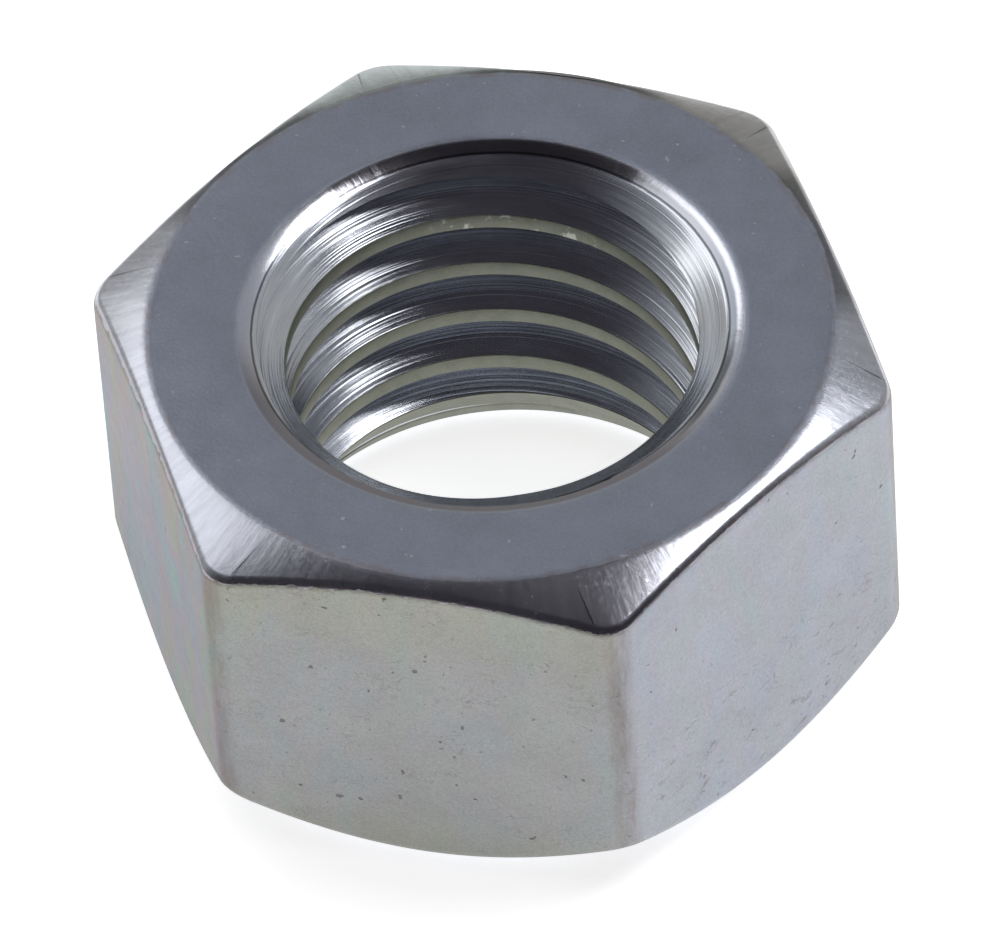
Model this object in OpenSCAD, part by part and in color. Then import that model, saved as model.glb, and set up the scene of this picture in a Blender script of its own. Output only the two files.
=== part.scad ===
// Hex nut, standing on its bearing face.
// Frame: origin at the centre of the lower bearing face, +Z up the thread axis,
// two of the six corners on the X axis, two of the six flats facing +Y and -Y.

/* [Thread] */
// Nominal (major) diameter of the thread
thread_d = 12; // [10:0.1:14.4]
// Thread pitch
pitch = 1.75; // [1.25:0.05:2.1]
// How much wider the hole is than the basic minor diameter
minor_allowance = 0.315; // [0.1:0.005:0.335]
// Angle, from the +X corner, at which the groove crosses the lower bearing face
thread_start = -74; // [-180:1:180]
// Steps per turn of the thread
turn_steps = 36; // [24:4:48]

/* [Body] */
// Width across the flats
flats_w = 18; // [15:0.1:22]
// Height between the two bearing faces
nut_h = 10.6; // [8:0.1:14]
// How far the corners are turned back from sharp, on the radius
corner_trim = 0.2; // [0.05:0.05:0.5]

/* [Chamfers] */
// Radius given up at the edge of the upper bearing face, from the flats
top_face_inset = 0.34; // [0.1:0.02:0.6]
// Angle of the upper corner chamfer from the face
top_angle = 23; // [15:1:35]
// Radius given up at the edge of the lower bearing face, from the flats
base_face_inset = 0.64; // [0.1:0.02:0.8]
// Angle of the lower corner chamfer from the face
base_angle = 42; // [15:1:45]

/* [Countersinks] */
// Diameter of the upper countersink at its face, over the thread diameter
top_sink_over = 0.3; // [0.1:0.05:0.8]
// Angle of the upper countersink from the axis
top_sink_angle = 52; // [40:1:60]
// Diameter of the lower countersink at its face, over the thread diameter
base_sink_over = 1.2; // [0.9:0.05:1.4]
// Angle of the lower countersink from the axis
base_sink_angle = 30; // [28:1:38]
// Rounding where the countersinks meet the bearing faces
rim_r = 0.5; // [0.2:0.05:0.7]

/* [Hidden] */
$fn = 96;
flat_r = flats_w / 2;
corner_r = flat_r / cos(30) - corner_trim;
top_face_r = flat_r - top_face_inset;
base_face_r = flat_r - base_face_inset;
top_drop = (corner_r - top_face_r) * tan(top_angle);
base_drop = (corner_r - base_face_r) * tan(base_angle);
major_r = thread_d / 2;
ridge_h = 5 / 8 * pitch * cos(30);          // basic 60 degree ridge
minor_r = major_r - ridge_h + minor_allowance / 2;
over = 1;                                    // cutters run this far past the faces
root_half = pitch / 16;                      // half the flat at the bottom of the groove
reach = 0.25;                                // the groove cutter starts inside the hole
mouth_r = minor_r - reach;
mouth_half = root_half + (major_r - mouth_r) * tan(30);
start_z = -pitch;
turns = ceil((nut_h + 2 * pitch) / pitch);
steps = turns * turn_steps;

// the turned envelope: both bearing faces and both corner chamfers
module turned_blank() {
    rotate_extrude()
        polygon([
            [0, 0], [base_face_r, 0], [corner_r, base_drop],
            [corner_r, nut_h - top_drop], [top_face_r, nut_h], [0, nut_h]
        ]);
}

// half profile of the drilled hole with a rounded countersink at its mouth
module mouth_profile(sink_r, sink_angle, face_r) {
    sink_depth = (sink_r - minor_r) / tan(sink_angle);
    // on a narrow bearing face the rounding takes at most half of what is left
    rim = min(rim_r, (face_r - sink_r) / 2 / tan((90 - sink_angle) / 2));
    rim_set = rim * tan((90 - sink_angle) / 2);
    rim_edge = sink_r + rim_set;
    polygon([
        [0, -nut_h / 2], [minor_r, -nut_h / 2], [minor_r, -sink_depth],
        [sink_r, 0], [rim_edge, 0], [rim_edge, over], [0, over]
    ]);
    // the sliver between the cone and the face, less a circle tangent to both
    difference() {
        polygon([
            [sink_r, 0], [rim_edge, 0], [rim_edge, -rim],
            [sink_r - rim_set * sin(sink_angle), -rim_set * cos(sink_angle)]
        ]);
        translate([rim_edge, -rim]) circle(r = rim);
    }
}

module mouth(sink_r, sink_angle, face_r) {
    rotate_extrude() mouth_profile(sink_r, sink_angle, face_r);
}

// a point on the groove: i steps along the helix, r from the axis, dz from its middle
function groove_point(i, r, dz) = [
    r * cos(thread_start + 360 * i / turn_steps),
    r * sin(thread_start + 360 * i / turn_steps),
    start_z + pitch * i / turn_steps + dz
];

// right-handed groove with 60 degree flanks and a flat root
module thread_groove() {
    section = [
        [mouth_r, -mouth_half], [major_r, -root_half],
        [major_r, root_half], [mouth_r, mouth_half]
    ];
    points = [for (i = [0 : steps]) for (s = section) groove_point(i, s[0], s[1])];
    sides = [for (i = [0 : steps - 1]) for (k = [0 : 3]) let (
        a = 4 * i + k, b = 4 * i + (k + 1) % 4, c = b + 4, d = a + 4
    ) each [[a, b, c], [a, c, d]]];
    first = [[0, 2, 1], [0, 3, 2]];
    n = 4 * steps;
    last = [[n, n + 1, n + 2], [n, n + 2, n + 3]];
    polyhedron(points = points, faces = concat(sides, first, last));
}

module drilled_blank() {
    difference() {
        intersection() {
            cylinder(r = flat_r / cos(30), h = nut_h, $fn = 6);
            turned_blank();
        }
        translate([0, 0, nut_h]) mouth(major_r + top_sink_over / 2, top_sink_angle, top_face_r);
        mirror([0, 0, 1]) mouth(major_r + base_sink_over / 2, base_sink_angle, base_face_r);
    }
}

module hex_nut() {
    color([0.72, 0.73, 0.72])
    difference() {
        drilled_blank();
        thread_groove();
    }
}

hex_nut();
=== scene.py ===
import math
import bpy
from mathutils import Matrix, Vector


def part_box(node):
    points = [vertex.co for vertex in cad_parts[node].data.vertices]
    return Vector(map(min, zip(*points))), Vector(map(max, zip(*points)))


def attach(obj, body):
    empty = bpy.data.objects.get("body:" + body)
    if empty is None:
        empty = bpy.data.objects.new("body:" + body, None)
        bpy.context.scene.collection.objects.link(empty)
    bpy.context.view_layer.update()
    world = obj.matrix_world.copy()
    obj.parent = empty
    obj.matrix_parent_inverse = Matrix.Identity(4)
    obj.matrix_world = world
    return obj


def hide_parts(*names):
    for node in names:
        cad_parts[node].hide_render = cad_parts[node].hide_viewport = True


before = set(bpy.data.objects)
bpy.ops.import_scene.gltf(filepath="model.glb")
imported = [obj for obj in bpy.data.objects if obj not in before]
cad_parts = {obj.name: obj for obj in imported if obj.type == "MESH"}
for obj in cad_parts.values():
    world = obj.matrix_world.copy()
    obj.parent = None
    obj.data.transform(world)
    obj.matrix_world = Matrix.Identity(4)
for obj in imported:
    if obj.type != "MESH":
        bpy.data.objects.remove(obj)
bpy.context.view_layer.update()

scene = bpy.context.scene
mm = 0.001
low, high = [Vector(corner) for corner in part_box("hex_nut")]
nutHeight = high.z - low.z
flatRadius = (high.y - low.y) / 2          # half the width across the flats
middle = (low + high) / 2


# small helpers for selecting and cutting

def deselectAll():
    if bpy.context.object and bpy.context.object.mode != 'OBJECT':
        bpy.ops.object.mode_set(mode='OBJECT')
    bpy.ops.object.select_all(action='DESELECT')


def makeActive(piece):
    deselectAll()
    piece.select_set(True)
    bpy.context.view_layer.objects.active = piece


# kind is vertices, edges or polygons; the test gets a vertex, an edge's two ends, or a face's centre and normal
def pick(piece, kind, test):
    bpy.ops.object.mode_set(mode='OBJECT')
    scene.tool_settings.mesh_select_mode = (kind == "vertices", kind == "edges", kind == "polygons")
    mesh = piece.data
    for group in (mesh.vertices, mesh.edges, mesh.polygons):
        group.foreach_set("select", [False] * len(group))
    for item in getattr(mesh, kind):
        if kind == "vertices":
            item.select = test(item.co)
        elif kind == "edges":
            item.select = test(*[mesh.vertices[end].co for end in item.vertices])
        else:
            item.select = test(item.center, item.normal)
    bpy.ops.object.mode_set(mode='EDIT')


def radiusOf(place):
    return math.hypot(place.x, place.y)


def near(value, wanted, slack=0.01 * mm):
    return abs(value - wanted) < slack


# bevel the edges whose two faces meet at more than the angle and whose middle passes the test
def bevelSharp(piece, angle, test, width, segments):
    bpy.ops.object.mode_set(mode='OBJECT')
    mesh = piece.data
    normals = {}
    for face in mesh.polygons:
        for key in face.edge_keys:
            normals.setdefault(key, []).append(face.normal.copy())

    def isSharp(a, b):
        pair = normals.get(tuple(sorted((index[tuple(a)], index[tuple(b)]))), [])
        return len(pair) == 2 and pair[0].angle(pair[1], 0) > angle and test((a + b) / 2)

    index = {tuple(vertex.co): vertex.index for vertex in mesh.vertices}
    pick(piece, "edges", isSharp)
    bpy.ops.mesh.bevel(offset=width, segments=segments, profile=0.5, affect='EDGES', clamp_overlap=False)
    bpy.ops.object.mode_set(mode='OBJECT')


def cutWith(piece, tool, operation):
    makeActive(piece)
    cut = piece.modifiers.new("cut", 'BOOLEAN')
    cut.operation, cut.solver, cut.object = operation, 'EXACT', tool
    bpy.ops.object.modifier_apply(modifier=cut.name)
    bpy.data.objects.remove(tool, do_unlink=True)


# the nut, in millimetres and degrees

nutShape = {
    "cornerRounding": 1.0,        # radius on the six upright corners
    "hexShift": -0.12,            # the hexagon sits this far off the turned axis, towards -Y
    "turnedSteps": 360,
    "topFaceRadius": 8.66, "topChamferAngle": 22.5, "topSoftening": 0.16,
    "baseFaceRadius": 8.36, "baseChamferAngle": 42, "baseSoftening": 0.2,
    "topMouthRadius": 6.15, "topMouthAngle": 52,
    "baseMouthRadius": 6.6, "baseMouthAngle": 30,
    "mouthSoftening": 0.42,
    "coreRadius": 4.7,            # the countersinks stop here, inside the thread
    "edgeWear": 0.23,             # bevel where the chamfers meet the flats
    "pitch": 1.75, "startAngle": -74,
    "crestRadius": 5.21, "crestWidth": 0.46,
    "rootRadius": 6.1, "rootWidth": 0.25,
    "crestEdge": 0.035, "rootSoftening": 0.06,
    "stepsPerTurn": 120,
}


def makeHexBar(shape):
    bpy.ops.mesh.primitive_cylinder_add(vertices=6, radius=flatRadius / math.cos(math.radians(30)),
                                        depth=nutHeight * 1.5, rotation=(0, 0, math.radians(30)),
                                        location=middle + Vector((0, shape["hexShift"] * mm, 0)))
    bar = bpy.context.object
    bpy.ops.object.transform_apply(location=True, rotation=True, scale=True)
    pick(bar, "edges", lambda a, b: abs(a.z - b.z) > nutHeight)      # the six upright corners
    bpy.ops.mesh.bevel(offset=shape["cornerRounding"] * mm * math.tan(math.radians(30)), segments=7,
                       profile=0.5, affect='EDGES', clamp_overlap=True)
    bpy.ops.object.mode_set(mode='OBJECT')
    return bar


# one end of the turned blank: chamfer cone, bearing face, rounded rim and countersink
def turnEnd(blank, blankRadius, end, shape):
    side, endZ = (1, high.z) if end == "top" else (-1, low.z)
    faceRadius, softening = shape[end + "FaceRadius"] * mm, shape[end + "Softening"] * mm
    mouthRadius, coreRadius = shape[end + "MouthRadius"] * mm, shape["coreRadius"] * mm
    drop = (blankRadius - faceRadius) * math.tan(math.radians(shape[end + "ChamferAngle"]))
    depth = (mouthRadius - coreRadius) / math.tan(math.radians(shape[end + "MouthAngle"]))
    pick(blank, "polygons", lambda centre, normal: normal.z * side > 0.9 and radiusOf(centre) < 0.1 * mm)
    bpy.ops.mesh.inset(thickness=blankRadius - faceRadius, depth=0)
    bpy.ops.mesh.inset(thickness=faceRadius - mouthRadius, depth=0)
    bpy.ops.mesh.inset(thickness=mouthRadius - coreRadius, depth=0)
    bpy.ops.transform.translate(value=(0, 0, -side * depth))
    pick(blank, "vertices", lambda place: near(place.z, endZ) and near(radiusOf(place), blankRadius))
    bpy.ops.transform.translate(value=(0, 0, -side * drop))
    for ringRadius, width, segments in ((faceRadius, softening, 6),
                                        (mouthRadius, shape["mouthSoftening"] * mm, 10)):
        pick(blank, "edges", lambda a, b: near(a.z, endZ) and near(b.z, endZ)
             and near(radiusOf(a), ringRadius, 0.03 * mm) and near(radiusOf(b), ringRadius, 0.03 * mm))
        bpy.ops.mesh.bevel(offset=width, segments=segments, profile=0.5, affect='EDGES', clamp_overlap=True)
    bpy.ops.object.mode_set(mode='OBJECT')


def makeTurnedBlank(shape):
    blankRadius = flatRadius / math.cos(math.radians(30)) + 0.3 * mm
    bpy.ops.mesh.primitive_cylinder_add(vertices=shape["turnedSteps"], radius=blankRadius,
                                        depth=nutHeight, location=middle)
    blank = bpy.context.object
    bpy.ops.object.transform_apply(location=True, rotation=True, scale=True)
    turnEnd(blank, blankRadius, "top", shape)
    turnEnd(blank, blankRadius, "base", shape)
    return blank


# the shape that a tap leaves: one pitch of its outline, swept up a right-hand screw
def makeTapRod(shape):
    pitch, crestRadius, rootRadius = shape["pitch"] * mm, shape["crestRadius"] * mm, shape["rootRadius"] * mm
    grooveHalf, rootHalf = (shape["pitch"] - shape["crestWidth"]) * mm / 2, shape["rootWidth"] * mm / 2
    grooveAtStart = low.z - pitch * shape["startAngle"] / 360 - 2 * pitch
    outline = [(crestRadius, -pitch / 2), (crestRadius, -grooveHalf), (rootRadius, -rootHalf),
               (rootRadius, rootHalf), (crestRadius, grooveHalf), (crestRadius, pitch / 2)]
    bpy.ops.mesh.primitive_plane_add(size=pitch, location=(outline[0][0], 0, grooveAtStart + outline[0][1]))
    rod = bpy.context.object
    bpy.ops.object.transform_apply(location=True, rotation=True, scale=True)
    pick(rod, "vertices", lambda place: True)
    bpy.ops.mesh.merge(type='CENTER')
    for here, there in zip(outline, outline[1:]):
        step = (there[0] - here[0], 0, there[1] - here[1])
        bpy.ops.mesh.extrude_vertices_move(TRANSFORM_OT_translate={"value": step})
    for cornerRadius, edgeZ, width, segments in ((crestRadius, grooveHalf, shape["crestEdge"] * mm, 2),
                                                 (rootRadius, rootHalf, shape["rootSoftening"] * mm, 3)):
        pick(rod, "vertices", lambda place: near(place.x, cornerRadius)
             and near(abs(place.z - grooveAtStart), edgeZ))
        bpy.ops.mesh.bevel(offset=width, segments=segments, profile=0.5, affect='VERTICES')
    bpy.ops.object.mode_set(mode='OBJECT')
    makeActive(rod)
    screw = rod.modifiers.new("screw", 'SCREW')
    screw.axis, screw.angle, screw.screw_offset = 'Z', math.tau, pitch
    screw.iterations = math.ceil(nutHeight / pitch) + 4
    screw.steps = screw.render_steps = shape["stepsPerTurn"]
    screw.use_merge_vertices, screw.merge_threshold = True, 0.0005 * mm
    bpy.ops.object.modifier_apply(modifier=screw.name)
    pick(rod, "vertices", lambda place: True)
    bpy.ops.mesh.remove_doubles(threshold=0.001 * mm)
    bpy.ops.mesh.bisect(plane_co=low - Vector((0, 0, 0.5 * mm)), plane_no=(0, 0, 1), use_fill=True,
                        clear_inner=True)
    bpy.ops.mesh.select_all(action='SELECT')
    bpy.ops.mesh.bisect(plane_co=high + Vector((0, 0, 0.5 * mm)), plane_no=(0, 0, 1), use_fill=True,
                        clear_outer=True)
    bpy.ops.mesh.select_all(action='SELECT')
    bpy.ops.mesh.normals_make_consistent(inside=False)
    bpy.ops.object.mode_set(mode='OBJECT')
    return rod


def makeNut(shape):
    nut = makeHexBar(shape)
    nut.name = nut.data.name = "nut_body"
    cutWith(nut, makeTurnedBlank(shape), 'INTERSECT')
    bevelSharp(nut, math.radians(25), lambda place: radiusOf(place) > 7.5 * mm, shape["edgeWear"] * mm, 5)
    print("blank forged:", len(nut.data.polygons), "faces")
    cutWith(nut, makeTapRod(shape), 'DIFFERENCE')
    makeActive(nut)
    pick(nut, "vertices", lambda place: True)
    bpy.ops.mesh.remove_doubles(threshold=0.0005 * mm)
    bpy.ops.mesh.normals_make_consistent(inside=False)
    bpy.ops.object.mode_set(mode='OBJECT')
    bpy.ops.object.shade_smooth_by_angle(angle=math.radians(26))
    print("thread tapped:", len(nut.data.polygons), "faces")
    return nut


# shader maths: a wire holds one socket, and its operators add the nodes

class Wire:
    def __init__(self, maker, socket):
        self.maker, self.socket = maker, socket

    def math(self, operation, *others):
        return self.maker.add('ShaderNodeMath', {"operation": operation}, [self, *others])

    def __add__(self, other): return self.math('ADD', other)
    def __radd__(self, other): return self.math('ADD', other)
    def __sub__(self, other): return self.math('SUBTRACT', other)
    def __rsub__(self, other): return self.maker.add('ShaderNodeMath', {"operation": 'SUBTRACT'}, [other, self])
    def __mul__(self, other): return self.math('MULTIPLY', other)
    def __rmul__(self, other): return self.math('MULTIPLY', other)
    def __truediv__(self, other): return self.math('DIVIDE', other)
    def __pow__(self, other): return self.math('POWER', other)
    def __abs__(self): return self.math('ABSOLUTE')


class Finish:
    def __init__(self, owner):                       # owner is a material or the world
        owner.use_nodes = True
        self.tree = owner.node_tree
        self.tree.nodes.clear()

    # a node's type, its settings, and the values or wires of its sockets by place or name
    def add(self, kind, settings=None, sockets=None, out=0):
        node = self.tree.nodes.new(kind)
        for key, value in (settings or {}).items():
            if key == "stops":
                while len(node.color_ramp.elements) < len(value):
                    node.color_ramp.elements.new(0.5)
                for element, (place, colour) in zip(node.color_ramp.elements, value):
                    element.position, element.color = place, colour
            else:
                setattr(node, key, value)
        pairs = sockets.items() if isinstance(sockets, dict) else enumerate(sockets or [])
        for key, value in pairs:
            if isinstance(value, Wire):
                self.tree.links.new(value.socket, node.inputs[key])
            else:
                node.inputs[key].default_value = value
        return Wire(self, node.outputs[out]) if len(node.outputs) else None

    # 0 below the first value, 1 above the second, smooth between
    def rise(self, value, first, second):
        return self.add('ShaderNodeMapRange', {"interpolation_type": 'SMOOTHSTEP'},
                        {0: value, 1: first, 2: second, 3: 0.0, 4: 1.0})

    def between(self, value, first, second, soft):
        return self.rise(value, first - soft, first + soft) * (1 - self.rise(value, second - soft,
                                                            second + soft))

    def noise(self, place, scale, detail=3.0, roughness=0.55, distortion=0.0):
        return self.add('ShaderNodeTexNoise', {"noise_dimensions": '3D'},
                        {"Vector": place, "Scale": scale, "Detail": detail,
                         "Roughness": roughness, "Distortion": distortion})

    def colourMix(self, amount, first, second, blend='MIX'):
        return self.add('ShaderNodeMix', {"data_type": 'RGBA', "blend_type": blend},
                        {0: amount, 6: first, 7: second}, out=2)

    # a colour made darker or lighter by a number
    def shaded(self, colour, shade):
        return self.colourMix(1.0, colour, self.vector(shade, shade, shade), 'MULTIPLY')

    def numberMix(self, amount, first, second):
        return self.add('ShaderNodeMix', {"data_type": 'FLOAT'}, {0: amount, 2: first, 3: second}, out=0)

    def vector(self, x, y, z):
        return self.add('ShaderNodeCombineXYZ', {}, [x, y, z])


zincFinish = {
    "faceColour": (0.395, 0.425, 0.505, 1), "faceRoughness": 0.34,
    "chamferColour": (0.57, 0.585, 0.65, 1), "chamferRoughness": 0.25,
    "frontFlatPaintedLight": (0.318, 0.328, 0.330, 1),       # painted light level of the front flat, also used on the three flats at the back
    "rightFlatPaintedLight": (0.385, 0.402, 0.448, 1), "leftFlatPaintedLight": (0.262, 0.268, 0.290, 1),
    "flatRoughness": 0.46,
    "rimColour": (0.72, 0.73, 0.80, 1), "rimRoughness": 0.16,
    "flankColour": (0.72, 0.75, 0.82, 1), "flankRoughness": 0.20,
    "crestColour": (0.265, 0.275, 0.225, 1), "crestRoughness": 0.55,
    "stainColour": (0.16, 0.12, 0.09, 1), "pitColour": (0.09, 0.08, 0.07, 1),
    "edgeShadeColour": (0.34, 0.30, 0.33, 1),         # painted shade: the thin dark line along the worn edges
    "burrShadeFrom": 66, "burrShadeTo": 143.4,             # where the tap drew a burr on the rim, painted with shade and given relief, degrees from +X
    "nickColour": (0.85, 0.88, 0.93, 1), "scuffColour": (0.20, 0.17, 0.14, 1),
    "tints": [(0.30, (0.80, 1.10, 0.96, 1)), (0.42, (1.0, 1.02, 0.84, 1)), (0.50, (1.14, 0.92, 0.99, 1)),
              (0.58, (0.88, 1.0, 1.14, 1)), (0.70, (0.78, 1.12, 1.02, 1))],     # faint rainbow of the plating
}


def makeZinc(finish, shape):
    material = bpy.data.materials.new("bright_zinc_plate")
    zinc = Finish(material)
    height = nutHeight / mm
    place = zinc.add('ShaderNodeVectorMath', {"operation": 'SCALE'},
                     {0: zinc.add('ShaderNodeTexCoord', out=3), "Scale": 1 / mm})     # object place in mm
    split = zinc.add('ShaderNodeSeparateXYZ', {}, [place]).socket.node
    x, y, z = [Wire(zinc, split.outputs[axis]) for axis in range(3)]
    radius = (x * x + y * y) ** 0.5
    angle = y.math('ARCTAN2', x)                     # radians from the +X corner
    degrees = angle * (180 / math.pi)

    # noises: grain, clouds, streaks along the radius, tool lines along the thread
    grain = zinc.noise(place, 9, 4, 0.65)
    fineGrain = zinc.noise(place, 15, 2, 0.7)
    clouds = zinc.noise(place, 0.55, 4, 0.55, 0.4)
    patches = zinc.noise(place, 1.7, 5, 0.6, 0.3)
    spokes = zinc.noise(zinc.vector(x / radius * 38, y / radius * 38, radius * 0.6), 1.0, 3, 0.6)
    turnShare = (z / shape["pitch"] - (angle - math.radians(shape["startAngle"])) / math.tau).math('FRACT')
    acrossGroove = abs(turnShare - 0.5)               # 0 at a crest, 0.5 at the bottom of the groove
    toolLines = zinc.noise(zinc.vector(radius * 13 + acrossGroove * 3, z * 0.5, 3.7), 1.0, 2, 0.6)
    toolWander = zinc.noise(zinc.vector(radius * 4, x * 0.5, y * 0.5), 1.0, 3, 0.6)

    # zones of the surface, with slightly uneven borders
    topCone = height - (radius - shape["topFaceRadius"]) * math.tan(math.radians(shape["topChamferAngle"]))
    baseCone = (radius - shape["baseFaceRadius"]) * math.tan(math.radians(shape["baseChamferAngle"]))
    wobble = (patches - 0.5) * 0.22 + (grain - 0.5) * 0.12
    ragged = (zinc.noise(place, 2.6, 3, 0.6) - 0.5) * 0.20
    isFlat = (zinc.rise(topCone - z + ragged, 0.09, 0.12) * zinc.rise(z - baseCone + wobble, -0.10, 0.0)
              * zinc.rise(radius, 8.8, 8.9))
    isTop = (zinc.rise(z, height - 0.05, height - 0.01) * zinc.rise(radius, 6.25, 6.4)
             * (1 - zinc.rise(radius + wobble * 0.5, 8.62, 8.70)))
    isBase = (1 - zinc.rise(z, 0.01, 0.05)) * zinc.rise(radius, 6.6, 6.7) * (1 - zinc.rise(radius, 8.3, 8.4))
    isFace = isTop + isBase
    isInner = 1 - zinc.rise(radius, 6.75, 6.85)
    isRim = isInner * zinc.rise(z, height - 0.44, height - 0.38) * zinc.rise(radius, 5.93, 5.97) * (1 - isFace)
    baseMouth = abs(shape["baseMouthRadius"] - z * math.tan(math.radians(shape["baseMouthAngle"])) - radius)
    isBaseMouth = (1 - zinc.rise(baseMouth, 0.03, 0.05)) * (1 - zinc.rise(z, 2.45, 2.5))
    onCrest = 1 - zinc.rise(radius, shape["crestRadius"] + 0.01, shape["crestRadius"] + 0.035)
    isCrest = (isBaseMouth + onCrest).math('MINIMUM', 1.0)

    # flats: each side has its own colour, which is painted light and shade, lighter at the right and darker at
    # the left; brown stains run down beside the corners
    hexAngle = (angle / (math.pi / 3)).math('FRACT')            # 0 and 1 at the corners, 0.5 mid flat
    fromCorner = 0.5 - abs(hexAngle - 0.5)
    onRight = zinc.between(angle, -math.pi / 3, 0.0, 0.03)
    onLeft = 1 - zinc.rise(angle, -math.tau / 3 - 0.03, -math.tau / 3 + 0.03)
    flat = zinc.colourMix(onRight, finish["frontFlatPaintedLight"], finish["rightFlatPaintedLight"])
    flat = zinc.colourMix(onLeft, flat, finish["leftFlatPaintedLight"])
    tint = zinc.noise(zinc.vector(x * 0.55, y * 0.55, z * 0.20), 1.0, 4, 0.55, 1.0)
    hues = zinc.add('ShaderNodeValToRGB', {"stops": finish["tints"]}, [tint])
    tinted = zinc.colourMix(1.0, flat, hues, 'MULTIPLY')
    flat = zinc.colourMix(0.16 + onLeft * 0.7, flat, tinted)
    mottle = 0.83 + clouds * 0.24 + (patches - 0.5) * 0.26 + (fineGrain - 0.5) * 0.44 + (grain - 0.5) * 0.20
    flat = zinc.shaded(flat, mottle)
    yellowed = zinc.rise(z + patches * 3, 8.6, 11.2) + (1 - zinc.rise(z + patches * 2, 1.8, 4.0)) * 0.8
    yellowFlat = zinc.colourMix(1.0, flat, (1.05, 1.03, 0.82, 1), 'MULTIPLY')
    flat = zinc.colourMix(yellowed * 0.5 * (1 - onRight), flat, yellowFlat)
    stainNoise = zinc.noise(zinc.vector(x * 2.2, y * 2.2, z * 0.35), 1.0, 5, 0.7)
    stain = (1 - zinc.rise(fromCorner, 0.01, 0.045)) * zinc.rise(stainNoise, 0.25, 0.75)
    flat = zinc.colourMix(stain * 0.6, flat, finish["stainColour"])
    pitNoise = zinc.noise(place, 3.1, 2, 0.5)
    pitField = zinc.rise(clouds, 0.45, 0.62)
    smallPits = zinc.rise(zinc.noise(place, 5.2, 3, 0.6), 0.68, 0.74) * pitField * 0.7
    pits = zinc.rise(pitNoise, 0.735, 0.77) + smallPits
    scratchField = zinc.noise(zinc.vector(x * 1.2 + y * 1.1, y * 0.9 - x * 0.5, z * 1.6), 1.0, 2, 0.5, 2.4)
    scratches = (1 - zinc.rise(abs(scratchField - 0.5), 0.002, 0.008)) * zinc.rise(patches, 0.52, 0.62)
    scuffField = zinc.noise(zinc.vector(x * 2.0, y * 2.0, z * 3.2), 1.0, 5, 0.75, 0.6)
    scuffs = (zinc.rise(scuffField, 0.56, 0.66) * zinc.rise(patches, 0.42, 0.56)
              * onRight * (1 - zinc.rise(z, 3.0, 6.5)))
    scuffs = scuffs + zinc.rise(scuffField, 0.62, 0.72) * zinc.rise(clouds, 0.50, 0.60) * 0.5
    flat = zinc.colourMix(scuffs.math('MINIMUM', 1.0) * 0.5, flat, finish["scuffColour"])
    flat = zinc.colourMix((pits + scratches * 0.2).math('MINIMUM', 1.0) * 0.62, flat, finish["pitColour"])

    # upper and lower bearing faces
    faceShade = 1.0 + (clouds - 0.5) * 0.35 + (grain - 0.5) * 0.26 + (fineGrain - 0.5) * 0.42
    face = zinc.shaded(finish["faceColour"], faceShade)
    flecks = zinc.rise(zinc.noise(place, 4.3, 1, 0.5), 0.755, 0.79)
    face = zinc.colourMix(flecks * 0.45, face, (0.85, 0.88, 0.92, 1))
    brownRing = zinc.between(radius + wobble * 0.8, 8.52, 8.72, 0.06)
    face = zinc.colourMix(brownRing * zinc.rise(patches, 0.40, 0.60) * 0.6, face, (0.34, 0.29, 0.30, 1))

    # chamfers, rim and thread
    chamferShade = 0.92 + (spokes - 0.5) * 0.45 + (grain - 0.5) * 0.25
    # painted shade: the chamfers at the back are darker midway between the corners
    chamferShade = chamferShade * (1 - 0.55 * zinc.rise(fromCorner, 0.16, 0.30) * zinc.rise(y, -2.0, 1.0))
    chamfer = zinc.shaded(finish["chamferColour"], chamferShade)
    # the chamfers at the back are darkened and tinted, greener at the left and warmer at the right
    backChamferTint = zinc.colourMix(zinc.rise(x, -2.0, 3.0), (0.74, 0.79, 0.72, 1), (0.80, 0.77, 0.70, 1))
    chamfer = zinc.colourMix(zinc.rise(y, 4.0, 6.5), chamfer, zinc.colourMix(1.0, chamfer, backChamferTint, 'MULTIPLY'))
    nicks = zinc.between(degrees, -64, -52, 3) * zinc.rise(zinc.noise(place, 6.5, 4, 0.7), 0.60, 0.66)
    # painted shade: the chamfer is darkened towards purple-grey at the front corner, between -66 and -51
    # degrees
    chamfer = zinc.colourMix(zinc.between(degrees, -66, -51, 5) * 0.65, chamfer, (0.28, 0.27, 0.31, 1))
    chamfer = zinc.colourMix(nicks * 0.5, chamfer, finish["nickColour"])
    # painted shade along the worn upper edges, where the top chamfer meets the flats
    edgeShadeZone = zinc.rise(topCone - z, 0.03, 0.08) * zinc.rise(z, 5.0, 6.0)
    chamfer = zinc.colourMix(edgeShadeZone * 0.8, chamfer, finish["edgeShadeColour"])

    # the rim: bright at the left, burred at the back where the tap drew over it, with painted shade at the
    # back, painted shade greying the inside at the right, along the front and as a dark line where it meets the
    # thread
    rim = zinc.colourMix((grain - 0.35) * 0.4, finish["rimColour"], (0.50, 0.46, 0.48, 1))
    # painted shade: the back of the rim, where the tap drew over it, is darkened except on lighter burr lines
    dragShade = zinc.between(degrees, finish["burrShadeFrom"], finish["burrShadeTo"], 0.6)
    burrLines = zinc.rise(spokes, 0.50, 0.62) * zinc.rise(degrees, 118, 138)
    rim = zinc.colourMix(dragShade * (1 - burrLines) * 0.72, rim, (0.10, 0.085, 0.095, 1))
    # painted shade: the inside of the rim at the right is greyed, darkest between -25 and 15 degrees
    innerRight = zinc.between(degrees, -25, 66, 8) * (1 - zinc.rise(radius + wobble * 0.3, 6.14, 6.24))
    insideGrey = zinc.colourMix(zinc.rise(degrees, 15, 45), (0.12, 0.14, 0.17, 1), (0.34, 0.35, 0.38, 1))
    rim = zinc.colourMix(innerRight * 0.8, rim, insideGrey)
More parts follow.
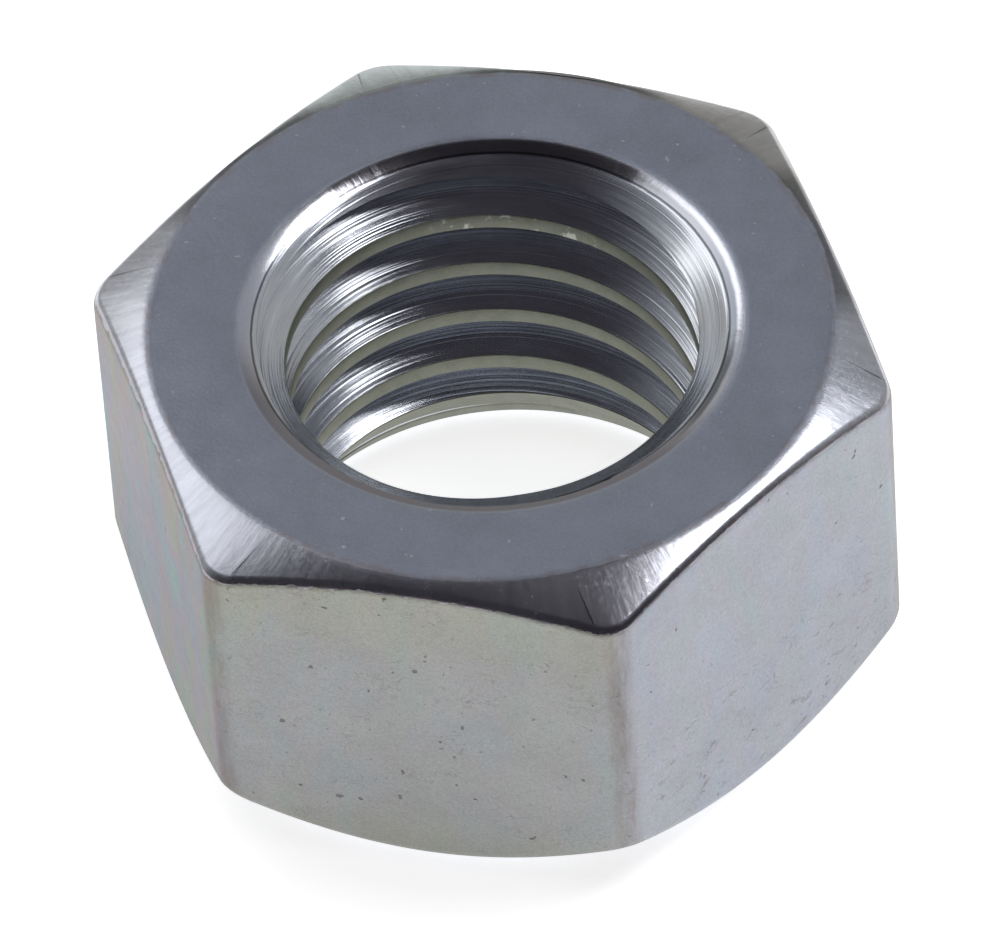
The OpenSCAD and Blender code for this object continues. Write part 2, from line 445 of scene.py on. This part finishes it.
    # painted shade: the rim is darkened along the front, towards -Y
    rim = zinc.colourMix((1 - zinc.rise(y, -3.8, -1.0)) * 0.7, rim, (0.13, 0.11, 0.13, 1))
    # painted shade: a dark line low on the rim, where it folds into the thread
    creaseShade = zinc.between(radius + wobble * 0.15, 5.97, 6.02, 0.015)
    rim = zinc.colourMix(creaseShade * 0.8, rim, (0.05, 0.05, 0.06, 1))
    lineShade = 0.70 + toolLines * 0.4 + (toolWander - 0.5) * 0.4
    flank = zinc.shaded(finish["flankColour"], lineShade)
    deepLines = zinc.rise(toolLines, 0.60, 0.68)
    flank = zinc.colourMix(deepLines * 0.5, flank, (0.16, 0.17, 0.20, 1))
    crestShade = 0.72 + patches * 0.5 + (fineGrain - 0.5) * 0.35
    crest = zinc.shaded(finish["crestColour"], crestShade)
    burr = (zinc.between(z, 8.35, 9.05, 0.05) * zinc.between(degrees, 74, 118, 5)
            * zinc.rise(zinc.noise(place, 2.4, 4, 0.7), 0.54, 0.64))
    crest = zinc.colourMix(burr, crest, (0.60, 0.62, 0.56, 1))

    colour = zinc.colourMix(isInner, chamfer, flank)
    colour = zinc.colourMix(isRim, colour, rim)
    colour = zinc.colourMix(isCrest, colour, crest)
    colour = zinc.colourMix(isFace, colour, face)
    colour = zinc.colourMix(isFlat, colour, flat)
    rough = zinc.numberMix(isInner, finish["chamferRoughness"] + (grain - 0.5) * 0.12,
                           finish["flankRoughness"] + (toolWander - 0.5) * 0.2)
    rough = zinc.numberMix(isRim, rough, finish["rimRoughness"] + (patches - 0.5) * 0.1)
    rough = zinc.numberMix(isCrest, rough, finish["crestRoughness"])
    rough = zinc.numberMix(isFace, rough, finish["faceRoughness"] + (patches - 0.5) * 0.12)
    rough = zinc.numberMix(isFlat, rough, finish["flatRoughness"] + (patches - 0.5) * 0.15)

    # relief in millimetres
    flatRelief = ((grain - 0.5) * 0.014 + (patches - 0.5) * 0.035
                  - pits * 0.02 - scratches * 0.008 - scuffs * 0.01)
    faceRelief = (grain - 0.5) * 0.006 + (fineGrain - 0.5) * 0.003
    outerRelief = (spokes - 0.5) * 0.0035 + (patches - 0.5) * 0.006
    threadRelief = (toolLines - 0.5) * (0.015 - 0.008 * zinc.rise(z, height - 0.8, height - 0.6))
    dragRelief = 0.0008 + 0.004 * zinc.between(degrees, 120, finish["burrShadeTo"], 1)
    rimRelief = (patches - 0.5) * 0.005 + (spokes - 0.5) * dragRelief
    relief = zinc.numberMix(isInner, outerRelief, threadRelief)
    relief = zinc.numberMix(isRim, relief, rimRelief)
    relief = zinc.numberMix(isCrest, relief, (grain - 0.5) * 0.01)
    relief = zinc.numberMix(isFace, relief, faceRelief)
    relief = zinc.numberMix(isFlat, relief, flatRelief)
    bump = zinc.add('ShaderNodeBump', {}, {"Strength": 1.0, "Distance": mm, "Height": relief})
    surface = zinc.add('ShaderNodeBsdfPrincipled', {}, {"Base Color": colour, "Roughness": rough,
                       "Metallic": 1.0, "Normal": bump})
    zinc.add('ShaderNodeOutputMaterial', {}, {"Surface": surface})
    return material


nutBody = makeNut(nutShape)
nutBody.data.materials.clear()
nutBody.data.materials.append(makeZinc(zincFinish, nutShape))
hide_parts("hex_nut")
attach(nutBody, "root")


# floor, light and camera

studio = {
    "floorColour": (0.86, 0.86, 0.86, 1), "floorGlow": 0.72,
    "frontGrey": (0.040, 0.037, 0.044, 1),      # the dark room behind the camera and overhead
    "backGrey": (0.30, 0.31, 0.335, 1),         # seen in the upper face
    "horizonGrey": (0.42, 0.42, 0.40, 1),
    "cardDistance": 0.6,
    "cards": [  # name, azimuth, elevation, width and height in degrees, radiance
        ("card_right", 28, 58, 28, 20, 6.5),
        ("card_left", 156, 43, 38, 38, 1.2),
    ],
    "fillWatts": 1.8,
}


def direction(azimuth, elevation):
    azimuth, elevation = math.radians(azimuth), math.radians(elevation)
    level = math.cos(elevation)
    return Vector((math.cos(azimuth) * level, math.sin(azimuth) * level, math.sin(elevation)))


def makeFloor(setup):
    bpy.ops.mesh.primitive_plane_add(size=8, location=(middle.x, middle.y, low.z))
    floor = bpy.context.object
    bpy.ops.object.transform_apply(location=True, rotation=True, scale=True)
    floor.name = floor.data.name = "studio_floor"
    material = bpy.data.materials.new("pale_floor")
    paint = Finish(material)
    surface = paint.add('ShaderNodeBsdfPrincipled', {}, {"Base Color": setup["floorColour"], "Roughness": 0.8,
                        "Emission Color": (1, 1, 1, 1), "Emission Strength": setup["floorGlow"]})
    paint.add('ShaderNodeOutputMaterial', {}, {"Surface": surface})
    floor.data.materials.append(material)


def makeSky(setup):
    world = scene.world or bpy.data.worlds.new("studio")
    scene.world = world
    sky = Finish(world)
    split = sky.add('ShaderNodeSeparateXYZ', {}, [sky.add('ShaderNodeTexCoord', out=0)]).socket.node
    x, y, up = [Wire(sky, split.outputs[axis]) for axis in range(3)]
    back = direction(105.6, 0)
    toBack = (x * back.x + y * back.y) / (x * x + y * y + 0.0001) ** 0.5
    shade = sky.colourMix(sky.rise(up, 0.38, 0.66), setup["horizonGrey"], setup["backGrey"])
    shade = sky.colourMix(sky.rise(up, 0.80, 0.93), shade, setup["frontGrey"])
    shade = sky.colourMix(sky.rise(toBack, -0.45, 0.25), setup["frontGrey"], shade)
    glow = sky.add('ShaderNodeBackground', {}, {"Color": shade, "Strength": 1.0})
    sky.add('ShaderNodeOutputWorld', {}, {"Surface": glow})


def makeCards(setup):
    for name, azimuth, elevation, wide, tall, radiance in setup["cards"]:
        light = bpy.data.lights.new(name, 'AREA')
        light.shape = 'RECTANGLE'
        light.size = 2 * setup["cardDistance"] * math.tan(math.radians(wide / 2))
        light.size_y = 2 * setup["cardDistance"] * math.tan(math.radians(tall / 2))
        light.energy = radiance * math.pi * light.size * light.size_y      # the same radiance all over
        card = bpy.data.objects.new(name, light)
        scene.collection.objects.link(card)
        card.location = middle + direction(azimuth, elevation) * setup["cardDistance"]
        card.rotation_euler = direction(azimuth, elevation).to_track_quat('Z', 'Y').to_euler()
    light = bpy.data.lights.new("fill_above", 'AREA')
    light.size, light.energy = 0.8, setup["fillWatts"]
    fill = bpy.data.objects.new("fill_above", light)
    scene.collection.objects.link(fill)
    fill.location = middle + Vector((0, 0, 1.0))
    fill.visible_glossy = False                      # it brightens the floor and is not mirrored in the metal


view = {
    "azimuth": -74.44, "elevation": 47.75, "roll": 4.0,
    "distance": 341.4 * mm, "lensOverSensor": 13.496,
}


def makeCamera(view):
    camera = bpy.data.objects.new("camera", bpy.data.cameras.new("camera"))
    scene.collection.objects.link(camera)
    back = direction(view["azimuth"], view["elevation"])
    right = Vector((0, 0, 1)).cross(back).normalized()
    up = back.cross(right)
    roll = math.radians(view["roll"])
    turnedRight = right * math.cos(roll) - up * math.sin(roll)
    turnedUp = up * math.cos(roll) + right * math.sin(roll)
    camera.matrix_world = Matrix((turnedRight, turnedUp, back)).transposed().to_4x4()
    camera.location = middle + back * view["distance"]
    camera.data.lens = camera.data.sensor_width * view["lensOverSensor"]
    camera.data.clip_start, camera.data.clip_end = 0.01, 50
    scene.camera = camera


makeFloor(studio)
makeSky(studio)
makeCards(studio)
makeCamera(view)
scene.view_settings.view_transform = 'Standard'
print("studio lit")
